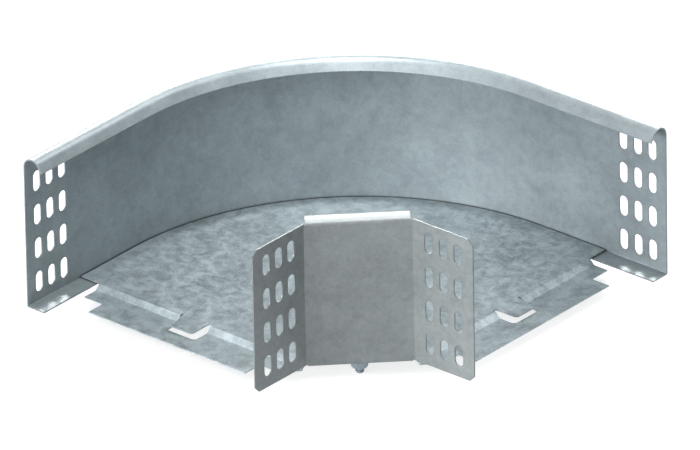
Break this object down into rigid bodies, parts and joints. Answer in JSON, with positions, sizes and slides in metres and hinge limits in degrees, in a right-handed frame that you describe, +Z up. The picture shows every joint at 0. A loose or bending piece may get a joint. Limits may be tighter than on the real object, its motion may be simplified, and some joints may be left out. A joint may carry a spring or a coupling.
{
  "type": "cable tray bend",
  "caption": "Right-angled flat bend for slotted cable tray, with a curved outer side rail, a folded inner corner plate and stepped connection lips.",
  "frame": {"origin": "where the centre lines of the two tray runs cross, on the underside of the base plate", "axes": "+Z up, out of the tray's open top; one run leaves along +X and the other along -Y"},
  "size_m": [0.3027, 0.3027, 0.1227],
  "materials": {
    "galvanised_rail": "galvanised, mottled",
    "galvanised_base": "galvanised, mottled",
    "galvanised_corner": "galvanised, mottled",
    "zinc_bolt": "zinc plated",
    "zinc_nut": "zinc plated"
  },
  "bodies": {
    "root": {"outer_rail": "galvanised_rail", "base_plate": "galvanised_base", "corner_plate": "galvanised_corner", "corner_bolt": "zinc_bolt", "corner_nut": "zinc_nut"}
  },
  "joints": []
}
